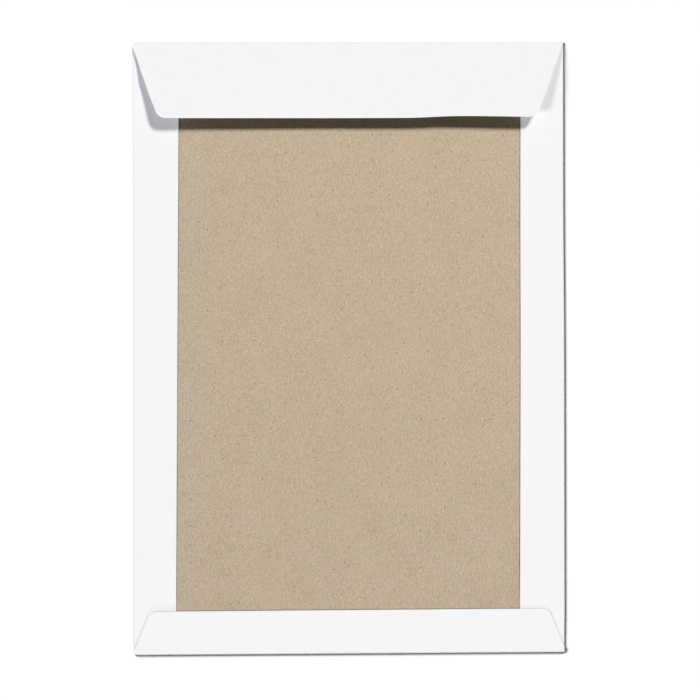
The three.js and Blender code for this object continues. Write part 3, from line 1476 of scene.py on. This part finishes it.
@dataclass
class Studio:
    """The white floor, the soft light and the camera that looks straight down."""

    frame_across: float = 371.55 * MM
    aim: Direction = (0.80 * MM, -1.22 * MM)
    roll: float = -0.0013
    lens: float = 150.0
    sensor: float = 36.0
    ambient: float = 0.025
    backdrop: float = 1.0
    floor_size: float = 8.0
    floor_drop: float = 0.05 * MM
    floor_tone: float = 0.9
    floor_glow: float = 0.09
    lamps: tuple[Lamp, ...] = (
        Lamp("key_on_paper", KEY, Receiver.PAPER, share=0.60, away=FAR, tint=WARM),
        Lamp("fill_on_paper", FILL, Receiver.PAPER, share=0.30, away=FAR, tint=COOL),
        Lamp("front_on_paper", FRONT, Receiver.PAPER, share=0.075, away=FAR, tint=COOL),
        Lamp("key_on_board", KEY, Receiver.BOARD, share=0.885, away=5.0),
        Lamp("fill_on_board", FILL, Receiver.BOARD, share=0.080, away=0.95),
        Lamp("side_on_floor", SLANTING, Receiver.FLOOR, share=1.0, away=FAR),
    )

    def build_world(self) -> None:
        """Makes the even light from all round, which the camera sees as plain white."""
        world = bpy.data.worlds.new("white studio")
        graph = NodeGraph(world)
        values = {"Color": (1.0, 1.0, 1.0, 1.0), "Strength": graph.by_sight(self.ambient, self.backdrop)}
        background = graph.node("ShaderNodeBackground", values)
        graph.node("ShaderNodeOutputWorld", {"Surface": background.outputs[0]})
        bpy.context.scene.world = world

    def floor_material(self) -> bpy.types.Material:
        """Makes the floor's matt white, with a faint glow that is seen but lights nothing.

        Returns:
            The material.
        """
        material = bpy.data.materials.new("white floor")
        graph = NodeGraph(material)
        matt = graph.node("ShaderNodeBsdfDiffuse", {"Color": (*cube(self.floor_tone), 1.0)})
        glow = graph.node("ShaderNodeEmission", {"Strength": graph.by_sight(0.0, self.floor_glow)})
        both = graph.node("ShaderNodeAddShader", {0: matt.outputs[0], 1: glow.outputs[0]})
        graph.node("ShaderNodeOutputMaterial", {"Surface": both.outputs[0]})
        return material

    def build_floor(self) -> bpy.types.Object:
        """Makes the white floor, which keeps the envelope's shadow.

        Returns:
            The floor's object.
        """
        half = self.floor_size / 2
        corners = [(x * half, y * half, -self.floor_drop) for x, y in ((-1, -1), (1, -1), (1, 1), (-1, 1))]
        mesh = bpy.data.meshes.new("floor")
        mesh.from_pydata(corners, [], [(0, 1, 2, 3)])
        mesh.materials.append(self.floor_material())
        floor = bpy.data.objects.new("floor", mesh)
        bpy.context.scene.collection.objects.link(floor)
        return floor

    def build_camera(self) -> bpy.types.Object:
        """Makes the camera, which looks straight down with the closing flap at the top of the picture.

        Returns:
            The camera's object.
        """
        camera = bpy.data.cameras.new("camera")
        camera.lens = self.lens
        camera.sensor_width = self.sensor
        thing = bpy.data.objects.new("camera", camera)
        fold_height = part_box("backing_board")[0].z
        thing.location = (*self.aim, self.frame_across * self.lens / self.sensor + fold_height)
        thing.rotation_euler.z = self.roll
        bpy.context.scene.collection.objects.link(thing)
        bpy.context.scene.camera = thing
        return thing

    def build(self, pieces: dict[Receiver, list[bpy.types.Object]]) -> None:
        """Builds the floor, the world, the camera and the lamps.

        Args:
            pieces: The envelope's pieces, by the lamps that light them.
        """
        self.build_world()
        pieces[Receiver.FLOOR] = [self.build_floor()]
        self.build_camera()
        lit: dict[Receiver, bpy.types.Collection] = {}
        for receiver, things in pieces.items():
            lit[receiver] = bpy.data.collections.new(f"lit {receiver.value}")
            for thing in things:
                lit[receiver].objects.link(thing)
        for lamp in self.lamps:
            lamp.build(lit[lamp.receiver])
        bpy.context.scene.view_settings.view_transform = "Standard"


def dress(piece: bpy.types.Object, node: str, finish: Finish) -> bpy.types.Object:
    """Gives a piece its finish and its place on the envelope.

    Args:
        piece: The piece's object.
        node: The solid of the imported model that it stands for.
        finish: The piece's finish.

    Returns:
        The same object.
    """
    piece.data.materials.clear()
    piece.data.materials.append(finish.material())
    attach(piece, BODY)
    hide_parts(node)
    return piece


def main() -> None:
    """Builds the envelope's pieces in order, reports them, and builds the studio round them."""
    logging.basicConfig(level=logging.INFO, format="%(name)s: %(message)s")
    cover = PaperCover()
    sheet = cover.dressed()
    board = BackingBoard().dressed()
    strip = SealStrip(cover.closing).dressed()
    liner = ReleaseLiner(cover.closing).dressed()
    for piece in (sheet, board, strip, liner):
        mesh = piece.data
        log.info("%s: %d faces of %s", piece.name, len(mesh.polygons), mesh.materials[0].name)
    Studio().build({Receiver.PAPER: [sheet, strip, liner], Receiver.BOARD: [board]})


if __name__ == "__main__":
    main()
